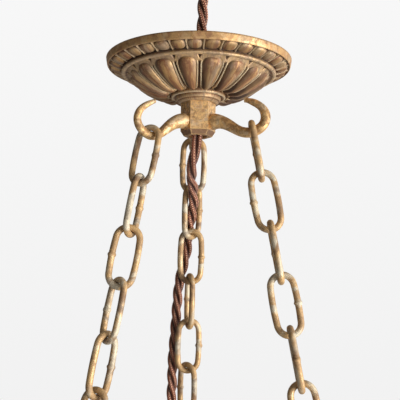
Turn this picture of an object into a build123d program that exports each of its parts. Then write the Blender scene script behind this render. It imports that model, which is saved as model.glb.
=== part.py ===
"""Bowl pendant on three chains: pressed ceiling canopy, hexagonal hub with three
bent hooks, three chains of welded links, twisted textile flex woven down the rear
chain, and an alabaster bowl with an upright lampholder.

Millimetres, +Z up. The origin is the centre of the ceiling plane that the canopy's
rim and the mounting strap bear on, so the whole pendant hangs below z = 0 and only
the flex's tail and its terminal block stand above it. -Y is the viewer's side.
"""
from build123d import *
from math import asin, atan2, cos, degrees, hypot, pi, radians, sin, sqrt, tan
import os

# ---------------------------------------------------------------- driving sizes
# Canopy: pressed brass dish
canopy_radius = 55.0
canopy_wall = 1.2
rim_band_height = 4.0
rim_band_draft = 0.6
rim_step_width = 1.6
rim_step_drop = 0.6
bead_band_width = 6.6
bead_band_drop = 2.7
ring_step_width = 1.0
ring_step_drop = 1.1
raised_ring_width = 2.6
raised_ring_drop = 1.3
canopy_depth = 25.6
centre_cone_radius = 17.5
centre_cone_height = 2.2
rod_hole_clearance = 0.3

# Mounting strap
strap_end_gap = 3.2
strap_width = 16.0
strap_thickness = 2.0
strap_drop = 8.0
strap_well_half = 15.0
strap_slot_offset = 36.0
strap_slot_width = 5.2
strap_slot_length = 14.0
earth_screw_gap = 0.4
earth_screw_radius = 2.0
earth_screw_length = 5.0
earth_head_radius = 3.6
earth_head_height = 2.4
earth_slot_width = 1.0

# Threaded hollow rod, the same stock at the ceiling and through the bowl
rod_radius = 5.0
rod_bore_radius = 3.75
thread_clearance = 0.02
ceiling_rod_top = 2.5
ceiling_rod_grip = 11.4
rod_bush_height = 2.0
rod_bush_lip = 1.2
nut_flats = 14.0
nut_height = 4.0

# Hub: hexagonal bar, one hook on every second face
hub_flats = 17.9
hub_height = 19.7
hub_chamfer_height = 3.0
hub_chamfer_angle = 30.0
hub_bore_radius = 5.6
tenon_radius = 2.5
tenon_depth = 3.0
tenon_end_gap = 0.2
tenon_root = 0.5
tenon_clearance = 0.05
hook_root_drop = 11.5
hook_reach = 34.3
hook_azimuth = {"left": -146.0, "right": -26.0, "rear": 94.0}

# Chain: welded oval links
link_wire_radius = 1.85
link_inner_length = 29.45
link_inner_width = 10.1
link_play = 0.2
chain_hang = 585.0
named_links = 6
hook_play = 0.3
hanger_play = 0.45

# Flex: three braided cores twisted together, drawn here as its round envelope
flex_radius = 3.34
flex_hole_play = 0.16
flex_swing_gap = 0.4
flex_tail_top = 44.5

# Terminal block on the flex's tail
block_width = 24.0
block_depth = 13.0
block_height = 17.0
block_screw_radius = 2.0
block_collar = 3.0
block_collar_wall = 1.2
block_well_play = 0.1
block_screw_slot_width = 0.8
block_screw_slot_depth = 0.6

# Bowl: turned alabaster
bowl_radius = 175.0
bowl_wall = 10.0
bowl_band_height = 22.0
bowl_sagitta = 106.0
bowl_floor_thickness = 11.5
underside_cut = 1.0
bowl_rim_round = 3.0
hole_below_rim = 13.0
hanger_hole_radius = 2.6
hanger_drop = 37.3
hanger_inset = 12.8

# Bowl hangers: brass wire with a ring at the top and a threaded foot
hanger_wire_radius = 2.0
hanger_ring_inner_radius = 5.0
hanger_bend_radius = 4.0
hanger_nut_flats = 8.0
hanger_nut_height = 3.2
washer_radius = 6.5
washer_thickness = 1.0
fibre_thickness = 1.6
rosette_radius = 8.0
rosette_length = 11.0
rosette_cap_thickness = 2.6
rosette_end_gap = 0.4

# Lampholder and bulb at the bowl's centre
base_cap_radius = 20.0
base_cap_height = 21.0
base_cap_wall = 1.4
flex_entry_height = 10.5
bush_wall = 1.6
bush_depth = 2.2
bush_collar_gap = 0.5
bush_collar = 2.5
bush_lip = 1.4
core_radius = 16.5
core_height = 10.0
core_spigot = 2.0
core_flange_height = 1.2
core_flange_inset = 0.2
contact_stem_radius = 1.98
contact_length = 14.0
contact_width = 5.0
contact_thickness = 1.6
screw_shell_inner_radius = 13.45
screw_shell_wall = 0.6
screw_shell_height = 20.0
skirt_inset = 0.6
skirt_wall = 1.2
skirt_height = 34.0
skirt_mouth_gap = 0.6
bulb_length = 76.0
bulb_globe_radius = 22.5
bulb_cap_play = 0.25
bulb_cap_height = 22.0
bulb_cap_wall = 1.2
bulb_cap_floor = 2.0
bulb_cap_chamfer = 1.6
bulb_tip_radius = 4.4
bulb_tip_height = 2.0
bulb_insulator_height = 3.0
bulb_contact_gap = 0.3
bulb_glass_wall = 1.0
bulb_neck_play = 0.1
bulb_neck_end_gap = 4.0

# Finial under the bowl
dish_radius = 24.0
dish_height = 5.0
dish_edge = 1.2
dish_foot_margin = 6.0
seat_inset = 1.0
finial_radius = 11.0
finial_length = 27.0
finial_bore_depth = 12.0
rod_end_gap = 1.0

os.makedirs("parts", exist_ok=True)


# ---------------------------------------------------------------- small helpers
def save(name, solids):
    """Write one node: a single solid, or a group of separate solids."""
    shape = solids if not isinstance(solids, list) else Compound(children=solids)
    export_step(shape, f"parts/{name}.step")


def turned(points):
    """Solid of revolution about Z from (radius, z) points of a closed outline."""
    face = make_face(Plane.XZ * Polyline(*points, close=True))
    return revolve(face, Axis.Z)


def ring(outer, inner, z_low, z_high):
    """Flat ring or tube about Z."""
    height = z_high - z_low
    body = Pos(0, 0, z_low + height / 2) * Cylinder(outer, height)
    bore = Pos(0, 0, z_low + height / 2) * Cylinder(inner, height + 2)
    return body - bore


def hex_nut(flats, height, hole_radius):
    """Hexagon nut centred on the origin, axis along Z."""
    blank = extrude(RegularPolygon(flats / 2, 6, major_radius=False), height / 2, both=True)
    return blank - Cylinder(hole_radius, height + 2)


def radial(azimuth, radius, z):
    """Point at a radius and height in the vertical plane of one azimuth."""
    angle = radians(azimuth)
    return Vector(radius * cos(angle), radius * sin(angle), z)


def flex_path(points):
    """Straight runs joined by tangent arcs, each as large as its runs allow."""
    run_share = 0.45
    corners = [Vector(*p) for p in points]
    radii = []
    for before, corner, after in zip(corners, corners[1:], corners[2:]):
        turn = (corner - before).get_angle(after - corner)
        shorter = min((corner - before).length, (after - corner).length)
        radii.append(run_share * shorter / tan(radians(turn / 2)))
    return FilletPolyline(*corners, radius=radii), radii


def flex_tube(name, points):
    """One stretch of flex as a round tube; prints its smallest radius and volume."""
    path, radii = flex_path(points)
    tube = sweep(Plane(origin=path @ 0, z_dir=path % 0) * Circle(flex_radius), path)
    expected = pi * flex_radius**2 * path.length
    print(name, "radii", [round(r) for r in radii], "volume ratio", round(tube.volume / expected, 4))
    return tube


# ---------------------------------------------------------------- canopy
# Outline of the outer face as (radius, depth below the ceiling): rim band, sloping
# band of bead cells, raised ring, domed field of petals and a shallow centre cone.
cells_outer = canopy_radius - rim_band_draft - rim_step_width
cells_inner = cells_outer - bead_band_width
cells_top_depth = rim_band_height + rim_step_drop
cells_depth = cells_top_depth + bead_band_drop
dome_outer = cells_inner - raised_ring_width
dome_top_depth = cells_depth + raised_ring_drop
dome_foot_depth = canopy_depth - centre_cone_height
# Share of the way in and share of the way down along the petals
petal_curve = [(0.1, 0.16), (0.2, 0.33), (0.37, 0.55), (0.58, 0.75), (0.81, 0.91), (0.94, 0.975)]
canopy_outline = [
    (canopy_radius, 0.0),
    (canopy_radius - rim_band_draft, rim_band_height),
    (cells_outer, cells_top_depth),
    (cells_inner, cells_depth),
    (cells_inner - ring_step_width, cells_depth + ring_step_drop),
    (dome_outer, dome_top_depth),
]
for inward, down in petal_curve:
    dome_radius = dome_outer + (centre_cone_radius - dome_outer) * inward
    canopy_outline.append((dome_radius, dome_top_depth + (dome_foot_depth - dome_top_depth) * down))
canopy_outline.append((centre_cone_radius, dome_foot_depth))
canopy_outline.append((hub_flats / sqrt(3), canopy_depth))
canopy_hole = rod_radius + rod_hole_clearance
canopy_inner = [(r - canopy_wall, d - canopy_wall) for r, d in canopy_outline[1:]]
canopy_points = [(r, -d) for r, d in canopy_outline]
canopy_points += [(canopy_hole, -canopy_depth), (canopy_hole, -canopy_inner[-1][1])]
canopy_points += [(r, -d) for r, d in reversed(canopy_inner)]
canopy_points += [(canopy_radius - canopy_wall, 0.0)]
save("canopy", turned(canopy_points))

# ---------------------------------------------------------------- mounting strap
# Flat bar with its middle pressed down, so that the upper nut clears the ceiling
strap_half_length = sqrt((canopy_radius - canopy_wall) ** 2 - (strap_width / 2) ** 2) - strap_end_gap
strap_step = strap_well_half + strap_drop - strap_thickness
strap_bend_shift = 0.6 * strap_thickness
strap_side = [
    (strap_half_length, 0),
    (strap_half_length, -strap_thickness),
    (strap_step - strap_bend_shift, -strap_thickness),
    (strap_well_half - strap_bend_shift, -strap_drop - strap_thickness),
]
strap_top = [
    (strap_well_half, -strap_drop),
    (strap_step, 0),
]
strap_points = strap_side + [(-x, z) for x, z in reversed(strap_side)]
strap_points += [(-x, z) for x, z in reversed(strap_top)] + strap_top
strap = extrude(make_face(Plane.XZ * Polyline(*strap_points, close=True)), strap_width / 2, both=True)
strap -= Cylinder(canopy_hole, 4 * (strap_drop + strap_thickness))
slot_start = strap_slot_offset - strap_slot_length / 2
slot = extrude(SlotOverall(strap_slot_length, strap_slot_width), 4 * strap_thickness, both=True)
for side in (-1, 1):
    strap -= Pos(side * strap_slot_offset, 0, 0) * slot
earth_screw_offset = slot_start - earth_screw_gap - earth_head_radius
strap -= Pos(earth_screw_offset, 0, 0) * Cylinder(earth_screw_radius, 4 * strap_thickness)
save("mounting_strap", strap)

# Earth screw from below, its slotted head where it can be reached
earth_shank = Pos(0, 0, -earth_screw_length / 2) * Cylinder(
    earth_screw_radius - thread_clearance, earth_screw_length
)
earth_head_top = earth_head_height - earth_screw_length
earth_head = Pos(0, 0, earth_head_top - earth_head_height / 2) * Cylinder(earth_head_radius, earth_head_height)
earth_slot = Pos(0, 0, earth_head_top - earth_head_height) * Box(
    3 * earth_head_radius, earth_slot_width, earth_head_height
)
earth_screw = Pos(earth_screw_offset, 0, 0) * (earth_shank + earth_head - earth_slot)
save("earth_screw", earth_screw)

# Hollow threaded rod from above the strap down into the hub, with two nuts
ceiling_rod_bottom = -canopy_depth - ceiling_rod_grip
save("ceiling_rod", ring(rod_radius, rod_bore_radius, ceiling_rod_bottom, -ceiling_rod_top))
nut = hex_nut(nut_flats, nut_height, rod_radius + thread_clearance)
upper_nut = Pos(0, 0, -strap_drop + nut_height / 2) * nut
lower_nut = Pos(0, 0, -strap_drop - strap_thickness - nut_height / 2) * nut
save("rod_nuts", [upper_nut, lower_nut])

# Plastic bush on the rod's upper end, so that its edge can't cut the flex
bush_hole = flex_radius + 2 * flex_hole_play
rod_bush_bottom = -ceiling_rod_top
save("rod_bush", ring(rod_radius + rod_bush_lip, bush_hole, rod_bush_bottom, rod_bush_bottom + rod_bush_height))

# ---------------------------------------------------------------- hub
hub_top = -canopy_depth
hub_bottom = hub_top - hub_height
hub_body_bottom = hub_bottom + hub_chamfer_height
hook_root_z = hub_top - hook_root_drop
hub_section = Rot(0, 0, hook_azimuth["right"] - 30) * RegularPolygon(hub_flats / 2, 6, major_radius=False)
hub_barrel = extrude(Pos(0, 0, hub_body_bottom) * hub_section, hub_top - hub_body_bottom)
hub_foot = extrude(
    Pos(0, 0, hub_body_bottom) * hub_section, -hub_chamfer_height, taper=hub_chamfer_angle
)
hub = hub_barrel + hub_foot
thread_bore_height = ceiling_rod_grip
hub -= Pos(0, 0, hub_top - thread_bore_height / 2) * Cylinder(
    rod_radius + thread_clearance, thread_bore_height
)
hub -= Pos(0, 0, hub_bottom) * Cylinder(hub_bore_radius, 2 * (hub_height - thread_bore_height))
hub_face = hub_flats / 2
for azimuth in hook_azimuth.values():
    socket = Rot(0, 0, azimuth) * Pos(hub_face - tenon_depth / 2, 0, hook_root_z)
    hub -= socket * Rot(0, 90, 0) * Cylinder(tenon_radius + tenon_clearance, tenon_depth)
save("hub", hub)

# ---------------------------------------------------------------- hooks
# Centreline of each bent hook from the hub's face outward, down and back over:
# (radius from the pendant's axis, height above the hook's root, wire radius).
# The left one was bent a little slimmer and deeper than the others.
hook_shape = {
    "right": [
        (hub_face, 0.0, 4.5),
        (12.5, -0.1, 4.4),
        (17.5, -1.6, 3.6),
        (21.1, -3.6, 3.25),
        (24.3, -5.6, 3.0),
        (27.4, -7.2, 2.95),
        (30.9, -8.1, 2.97),
        (34.5, -8.1, 2.95),
        (38.0, -6.9, 2.9),
        (41.0, -4.6, 2.85),
        (42.4, -1.6, 2.85),
        (42.3, 1.7, 2.75),
        (40.6, 5.1, 2.4),
        (37.6, 7.8, 2.15),
        (34.0, 9.7, 1.9),
        (29.9, 11.1, 1.5),
    ],
    "left": [
        (hub_face, 0.0, 4.5),
        (12.5, -0.5, 4.3),
        (16.0, -1.8, 3.8),
        (19.2, -3.9, 3.4),
        (22.4, -6.6, 3.0),
        (25.8, -9.4, 2.65),
        (29.2, -11.2, 2.5),
        (32.7, -11.6, 2.45),
        (36.5, -10.0, 2.4),
        (39.5, -7.4, 2.3),
        (41.0, -3.7, 2.2),
        (40.5, 0.1, 2.1),
        (38.4, 3.3, 1.95),
        (35.2, 5.9, 1.7),
        (32.3, 7.6, 1.45),
        (29.9, 8.8, 1.2),
    ],
}
hook_shape["rear"] = hook_shape["right"]


def hook_curve(side):
    """Centreline of one hook as a smooth curve in its own vertical plane."""
    azimuth = hook_azimuth[side]
    points = [radial(azimuth, r, hook_root_z + z) for r, z, _ in hook_shape[side]]
    return points, Spline(*points)


def hook_solid(side):
    """Tapering round bar along the centreline, with a tenon that enters the hub."""
    points, curve = hook_curve(side)
    azimuth = hook_azimuth[side]
    across = Vector(-sin(radians(azimuth)), cos(radians(azimuth)), 0)
    sections = []
    for point, (_, _, radius) in zip(points, hook_shape[side]):
        along = curve.tangent_at(point)
        if not sections:
            along = radial(azimuth, 1, 0)
        section = Plane(origin=point, x_dir=across, z_dir=along) * Circle(radius)
        sections.append(section)
    bar = loft(sections)
    tenon_length = tenon_depth - tenon_end_gap + tenon_root
    tenon_middle = hub_face - tenon_depth + tenon_end_gap + tenon_length / 2
    tenon_place = Rot(0, 0, azimuth) * Pos(tenon_middle, 0, hook_root_z) * Rot(0, 90, 0)
    return bar + tenon_place * Cylinder(tenon_radius, tenon_length)


def wire_radius_at(side, outward):
    """Wire radius of a hook between its hub end and its outermost section."""
    rows = hook_shape[side]
    bend = rows[: rows.index(max(rows)) + 1]
    for (r0, _, w0), (r1, _, w1) in zip(bend, bend[1:]):
        if r0 <= outward <= r1:
            return w0 + (w1 - w0) * (outward - r0) / (r1 - r0)
    return bend[-1][2]


# The chains slope outward as far as the hangers inside the bowl's rim ask for
link_step = link_inner_length - link_play
ring_centre_radius = hanger_ring_inner_radius + hanger_wire_radius
link_count = 1 + round((chain_hang - link_inner_length) / link_step)
chain_length = (link_count - 1) * link_step + link_inner_length - hook_play
neck_distance = chain_length - hanger_play + hanger_ring_inner_radius + ring_centre_radius
neck_reach = bowl_radius - bowl_wall - hanger_inset
chain_slope = degrees(asin((neck_reach - hook_reach) / neck_distance))


def chain_direction(side):
    """Unit vector down one chain, sloping outward from the vertical."""
    slope = radians(chain_slope)
    return radial(hook_azimuth[side], sin(slope), -cos(slope))


def hook_contact(side):
    """Point of the hook's upper face that a taut chain settles on."""
    sample_count = 1000
    down = chain_direction(side)
    curve = hook_curve(side)[1]
    samples = [curve.position_at(step / sample_count) for step in range(sample_count)]
    lowest = max(samples, key=lambda position: position.dot(down))
    outward = lowest.dot(radial(hook_azimuth[side], 1, 0))
    return lowest - down * wire_radius_at(side, outward)


hook_seat = {}
for side in hook_azimuth:
    save(f"hook_{side}", hook_solid(side))
    hook_seat[side] = hook_contact(side)
    print("hook seat", side, [round(v, 2) for v in hook_seat[side]])

# ---------------------------------------------------------------- chains
link_end_radius = link_inner_width / 2 + link_wire_radius
link_straight = link_inner_length - link_inner_width

# Turn of each link about its chain, 0 showing its open face to the viewer. The side
# chains go on in quarter turns; the rear one repeats its row, as its flex does.
link_turns = {
    "left": [-29, 72, 5, -54, 52, -27],
    "right": [87, 0, 87, 1, 86, 0],
    "rear": [-8, 48, -10, -76, 10, -48, 34, -70],
}


def link_solid():
    """One link about the origin, long axis along Z, open face along Y."""
    half = link_straight / 2
    path = Plane.XZ * Wire(
        [
            Line((-link_end_radius, -half), (-link_end_radius, half)),
            ThreePointArc((-link_end_radius, half), (0, half + link_end_radius), (link_end_radius, half)),
            Line((link_end_radius, half), (link_end_radius, -half)),
            ThreePointArc(
                (link_end_radius, -half), (0, -half - link_end_radius), (-link_end_radius, -half)
            ),
        ]
    )
    return sweep(Plane(origin=path @ 0, z_dir=path % 0) * Circle(link_wire_radius), path)


def link_turn(side, index):
    """Angle of a link about its chain."""
    turns = link_turns[side]
    if side == "rear":
        return turns[index % len(turns)]
    if index < len(turns):
        return turns[index]
    return turns[-1] + 90 * (index - len(turns) + 1)


def along_chain(side, distance):
    """Point at a distance down one chain from the top of its first link's opening."""
    return hook_seat[side] + chain_direction(side) * (distance - hook_play)


def on_slope(side):
    """Rotation that tips the vertical onto one chain's slope."""
    azimuth = hook_azimuth[side]
    return Rot(0, 0, azimuth) * Rot(0, -chain_slope, 0) * Rot(0, 0, -azimuth)


def link_place(side, index):
    """Location of a link's centre on its chain."""
    centre = along_chain(side, index * link_step + link_inner_length / 2)
    return Pos(*centre) * on_slope(side) * Rot(0, 0, link_turn(side, index))


one_link = link_solid()
link_path_length = 2 * link_straight + 2 * pi * link_end_radius
print("link volume ratio", round(one_link.volume / (pi * link_wire_radius**2 * link_path_length), 4))
for side in hook_azimuth:
    for index in range(named_links):
        save(f"link_{side}_{index + 1}", link_place(side, index) * one_link)
    lower = [link_place(side, index) * one_link for index in range(named_links, link_count)]
    save(f"links_{side}_lower", lower)

# ---------------------------------------------------------------- bowl
# The hangers' rings take the chains' lower ends, and fix the height of the holes.
def chain_end(side):
    """Inner face of the last link's lower end, which carries the hanger's ring."""
    return along_chain(side, (link_count - 1) * link_step + link_inner_length)


hole_z = chain_end("right").Z - hanger_drop
bowl_rim_z = hole_z + hole_below_rim
band_bottom_z = bowl_rim_z - bowl_band_height
outer_sphere = (bowl_radius**2 + bowl_sagitta**2) / (2 * bowl_sagitta)
sphere_centre_z = band_bottom_z - bowl_sagitta + outer_sphere
inner_radius = bowl_radius - bowl_wall
inner_sphere = hypot(inner_radius, sphere_centre_z - band_bottom_z)
underside_z = sphere_centre_z - outer_sphere + underside_cut
floor_z = underside_z + bowl_floor_thickness
underside_flat = sqrt(outer_sphere**2 - (sphere_centre_z - underside_z) ** 2)
floor_flat = sqrt(inner_sphere**2 - (sphere_centre_z - floor_z) ** 2)


def sphere_arc(radius, start, end):
    """Arc of the bowl's section between two (radius, z) points."""
    a0 = atan2(start[1] - sphere_centre_z, start[0])
    a1 = atan2(end[1] - sphere_centre_z, end[0])
    middle = (a0 + a1) / 2
    mid_point = (radius * cos(middle), sphere_centre_z + radius * sin(middle))
    return ThreePointArc(start, mid_point, end)


round_z = bowl_rim_z - bowl_rim_round
outer_foot = (bowl_radius, band_bottom_z)
inner_foot = (inner_radius, band_bottom_z)
bowl_hole_radius = rod_radius + rod_hole_clearance
bowl_section = [
    Line((bowl_hole_radius, underside_z), (underside_flat, underside_z)),
    sphere_arc(outer_sphere, (underside_flat, underside_z), outer_foot),
    Line(outer_foot, (bowl_radius, round_z)),
    RadiusArc((bowl_radius, round_z), (bowl_radius - bowl_rim_round, bowl_rim_z), -bowl_rim_round),
    Line((bowl_radius - bowl_rim_round, bowl_rim_z), (inner_radius + bowl_rim_round, bowl_rim_z)),
    RadiusArc((inner_radius + bowl_rim_round, bowl_rim_z), (inner_radius, round_z), -bowl_rim_round),
    Line((inner_radius, round_z), inner_foot),
    sphere_arc(inner_sphere, inner_foot, (floor_flat, floor_z)),
    Line((floor_flat, floor_z), (bowl_hole_radius, floor_z)),
    Line((bowl_hole_radius, floor_z), (bowl_hole_radius, underside_z)),
]
bowl = revolve(make_face(Plane.XZ * Wire(bowl_section)), Axis.Z)
for azimuth in hook_azimuth.values():
    hole_place = Rot(0, 0, azimuth) * Pos(bowl_radius - bowl_wall / 2, 0, hole_z) * Rot(0, 90, 0)
    bowl -= hole_place * Cylinder(hanger_hole_radius, 2 * bowl_wall)
save("bowl", bowl)

# ---------------------------------------------------------------- bowl hangers
# A flat washer touches the bowl's hollow inner wall at its edge
inner_seat = sqrt(inner_radius**2 - washer_radius**2)
nut_start = inner_seat - fibre_thickness - washer_thickness
rosette_bore_end = rosette_length - rosette_cap_thickness
foot_end = bowl_radius + fibre_thickness + rosette_bore_end - rosette_end_gap


def hanger_ring_turn(side):
    """The ring stands square to the last link."""
    return link_turn(side, link_count - 1) + 90


def hanger_solid(side):
    """Ring on the chain's last link, shank down inside the rim, foot out through it."""
    azimuth = hook_azimuth[side]
    down = chain_direction(side)
    ring_top = chain_end(side) - down * hanger_play
    centre = ring_top + down * hanger_ring_inner_radius
    turn = on_slope(side) * Rot(0, 0, hanger_ring_turn(side)) * Rot(90, 0, 0)
    ring_solid = Pos(*centre) * turn * Torus(ring_centre_radius, hanger_wire_radius)
    neck = centre + down * ring_centre_radius
    neck_radius = neck.dot(radial(azimuth, 1, 0))
    foot = FilletPolyline(
        neck,
        radial(azimuth, neck_radius, hole_z),
        radial(azimuth, foot_end, hole_z),
        radius=hanger_bend_radius,
    )
    wire = sweep(Plane(origin=foot @ 0, z_dir=foot % 0) * Circle(hanger_wire_radius), foot)
    return ring_solid + wire


def on_hanger_axis(side, radius, solid):
    """Place a solid made along Z so that it starts at a radius and points outward."""
    return Rot(0, 0, hook_azimuth[side]) * Pos(radius, 0, hole_z) * Rot(0, 90, 0) * solid


foot_hole = hanger_wire_radius + thread_clearance
inner_nut = Pos(0, 0, -hanger_nut_height / 2) * hex_nut(hanger_nut_flats, hanger_nut_height, foot_hole)
metal_washer = ring(washer_radius, foot_hole, 0, washer_thickness)
fibre_washer = ring(washer_radius, foot_hole, 0, fibre_thickness)
rosette_neck = 0.42 * rosette_radius
rosette_knob = 0.62 * rosette_radius
rosette = turned(
    [
        (foot_hole, 0.0),
        (rosette_radius, 0.0),
        (rosette_radius, 0.1 * rosette_length),
        (0.8 * rosette_radius, 0.24 * rosette_length),
        (rosette_neck, 0.31 * rosette_length),
        (rosette_neck, 0.38 * rosette_length),
        (rosette_knob, 0.55 * rosette_length),
        (rosette_knob, 0.73 * rosette_length),
        (rosette_neck, 0.93 * rosette_length),
        (0.15 * rosette_radius, rosette_length),
        (0.0, rosette_length),
        (0.0, rosette_bore_end),
        (foot_hole, rosette_bore_end),
    ]
)
hanger_nuts = []
hanger_washers = []
hanger_fibres = []
rosettes = []
for side in hook_azimuth:
    save(f"hanger_{side}", hanger_solid(side))
    hanger_nuts.append(on_hanger_axis(side, nut_start, inner_nut))
    hanger_washers.append(on_hanger_axis(side, nut_start, metal_washer))
    hanger_fibres.append(on_hanger_axis(side, inner_seat - fibre_thickness, fibre_washer))
    hanger_fibres.append(on_hanger_axis(side, bowl_radius, fibre_washer))
    rosettes.append(on_hanger_axis(side, bowl_radius + fibre_thickness, rosette))
save("hanger_nuts", hanger_nuts)
save("hanger_washers", hanger_washers)
save("hanger_fibre_washers", hanger_fibres)
save("hanger_rosettes", rosettes)

# ---------------------------------------------------------------- centre of the bowl
fibre_top = floor_z + fibre_thickness
dish_top = underside_z - fibre_thickness
finial_top = dish_top - dish_height
base_cap_top = fibre_top + base_cap_height
centre_rod_top = fibre_top + base_cap_wall + nut_height + rod_end_gap
centre_rod_bottom = finial_top - finial_bore_depth + rod_end_gap
save("centre_rod", ring(rod_radius, rod_bore_radius, centre_rod_bottom, centre_rod_top))
rod_hole = rod_radius + thread_clearance
seat_radius = min(base_cap_radius, underside_flat) - seat_inset
centre_fibres = [
    ring(seat_radius, rod_hole, floor_z, fibre_top),
    ring(seat_radius, rod_hole, dish_top, underside_z),
]
save("centre_fibre_washers", centre_fibres)
dish_foot_radius = finial_radius + dish_foot_margin
outer_dish = turned(
    [
        (rod_hole, dish_top),
        (seat_radius, dish_top),
        (dish_radius, dish_top - dish_edge),
        (dish_radius, dish_top - 2 * dish_edge),
        (dish_foot_radius, finial_top),
        (rod_hole, finial_top),
    ]
)
save("outer_dish", outer_dish)
finial_bottom = finial_top - finial_length
# Share of the finial's radius and share of its length, from its collar to its tip
finial_profile = [
    (0.86, 0.0),
    (0.86, 0.09),
    (0.62, 0.18),
    (0.8, 0.3),
    (1.0, 0.46),
    (0.85, 0.65),
    (0.49, 0.78),
    (0.24, 0.85),
    (0.26, 0.92),
    (0.15, 1.0),
]
finial_points = [(rod_hole, finial_top)]
finial_points += [(finial_radius * r, finial_top - finial_length * d) for r, d in finial_profile]
finial_points += [(0.0, finial_bottom), (0.0, finial_top - finial_bore_depth)]
finial_points += [(rod_hole, finial_top - finial_bore_depth)]
save("finial", turned(finial_points))

# Lampholder: base cap with a side entry for the flex, porcelain core, screw shell,
# centre contact and outer skirt
entry_z = fibre_top + flex_entry_height
bush_bore = flex_radius + flex_hole_play
bush_outer = bush_bore + bush_wall
base_cap = ring(base_cap_radius, rod_hole, fibre_top, base_cap_top)
base_cap -= Pos(0, 0, fibre_top + base_cap_wall + base_cap_height / 2) * Cylinder(
    base_cap_radius - base_cap_wall, base_cap_height
)
entry_place = Rot(0, 0, hook_azimuth["rear"]) * Pos(base_cap_radius, 0, entry_z) * Rot(0, 90, 0)
base_cap -= entry_place * Cylinder(bush_outer, 4 * base_cap_wall)
save("lampholder_base", base_cap)
base_nut = Pos(0, 0, fibre_top + base_cap_wall + nut_height / 2) * hex_nut(nut_flats, nut_height, rod_hole)
save("base_nut", base_nut)
# The bush's collar stands clear of the cap's round wall, as far as its curve asks for
bush_end = bush_collar_gap + bush_collar
bush_sleeve = ring(bush_outer, bush_bore, -bush_depth, bush_end)
bush_sleeve += ring(bush_outer + bush_lip, bush_bore, bush_collar_gap, bush_end)
save("flex_entry_bush", entry_place * bush_sleeve)

core_top = base_cap_top + core_height
core = ring(core_radius, contact_stem_radius + thread_clearance, base_cap_top - core_spigot, core_top)
flange_radius = base_cap_radius - core_flange_inset
core_flange = ring(flange_radius, core_radius - skirt_wall, base_cap_top, base_cap_top + core_flange_height)
save("lampholder_core", core + core_flange)
shell_outer = screw_shell_inner_radius + screw_shell_wall
shell_top = core_top + screw_shell_height
save("screw_shell", ring(shell_outer, screw_shell_inner_radius, core_top, shell_top))
skirt_bottom = base_cap_top + core_flange_height
skirt_top = skirt_bottom + skirt_height
skirt_radius = base_cap_radius - skirt_inset
skirt = ring(skirt_radius, skirt_radius - skirt_wall, skirt_bottom, skirt_top)
skirt += ring(skirt_radius, shell_outer + skirt_mouth_gap, skirt_top - skirt_wall, skirt_top)
save("lampholder_skirt", skirt)
contact_stem_length = core_height / 2
contact_stem = Pos(0, 0, core_top - contact_stem_length / 2) * Cylinder(
    contact_stem_radius, contact_stem_length
)
contact_plate = Pos(0, 0, core_top + contact_thickness / 2) * Box(
    contact_length, contact_width, contact_thickness
)
save("centre_contact", contact_stem + contact_plate)

# Bulb: opal globe, threaded cap and its insulated tip
bulb_bottom = core_top + contact_thickness + bulb_contact_gap
cap_radius = screw_shell_inner_radius - bulb_cap_play
tip_top = bulb_bottom + bulb_tip_height
bulb_tip = turned(
    [
        (0.0, bulb_bottom),
        (bulb_tip_radius - 1.2, bulb_bottom),
        (bulb_tip_radius, tip_top - 0.3 * bulb_tip_height),
        (bulb_tip_radius, tip_top),
        (0.0, tip_top),
    ]
)
save("bulb_tip", bulb_tip)
insulator_top = tip_top + bulb_insulator_height
insulator_radius = 0.8 * cap_radius
insulator = turned(
    [
        (0.0, tip_top),
        (bulb_tip_radius + 1.0, tip_top),
        (insulator_radius, insulator_top),
        (0.0, insulator_top),
    ]
)
save("bulb_insulator", insulator)
cap_bottom = insulator_top
cap_top = bulb_bottom + bulb_cap_height
cap_floor = cap_bottom + bulb_cap_floor
cap_bore = cap_radius - bulb_cap_wall
bulb_cap = turned(
    [
        (0.0, cap_bottom),
        (insulator_radius, cap_bottom),
        (cap_radius, cap_bottom + bulb_cap_chamfer),
        (cap_radius, cap_top),
        (cap_bore, cap_top),
        (cap_bore, cap_floor),
        (0.0, cap_floor),
    ]
)
save("bulb_cap", bulb_cap)
bulb_top = bulb_bottom + bulb_length
globe_z = bulb_top - bulb_globe_radius
glass_neck = cap_bore - bulb_neck_play
neck_flare = 1.12
neck_angle = asin(glass_neck * neck_flare / bulb_globe_radius)


def globe_section(inset):
    """Outline of the globe from its top to its neck, moved inward by the glass wall."""
    radius = bulb_globe_radius - inset
    join = (radius * sin(neck_angle), globe_z - radius * cos(neck_angle))
    widest = (radius, globe_z)
    dome = ThreePointArc((0, globe_z + radius), widest, join)
    return dome, join


outer_dome, outer_join = globe_section(0.0)
inner_dome, inner_join = globe_section(bulb_glass_wall)
neck_bottom = cap_floor + bulb_neck_end_gap
glass_inner = glass_neck - bulb_glass_wall
glass_section = [
    outer_dome,
    Line(outer_join, (glass_neck, cap_top)),
    Line((glass_neck, cap_top), (glass_neck, neck_bottom)),
    Line((glass_neck, neck_bottom), (glass_inner, neck_bottom)),
    Line((glass_inner, neck_bottom), (glass_inner, cap_top)),
    Line((glass_inner, cap_top), inner_join),
    inner_dome,
    Line((0, globe_z + bulb_globe_radius - bulb_glass_wall), (0, globe_z + bulb_globe_radius)),
]
save("bulb_glass", revolve(make_face(Plane.XZ * Wire(glass_section)), Axis.Z))

# ---------------------------------------------------------------- flex
# Three stretches: through the rod and hub, woven down the rear chain, and over the
# bowl's rim to the lampholder. They part where the chain and the bowl swing.
sway_z = hook_seat["rear"].Z
upper_route = [
    (0.0, 0.0, sway_z + flex_swing_gap / 2),
    (0.2, 0.0, -22.0),
    (0.0, 0.1, -2.0),
    (1.9, 0.0, 21.0),
    (1.9, 0.0, flex_tail_top),
]
save("flex_upper", flex_tube("flex_upper", upper_route))


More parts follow.
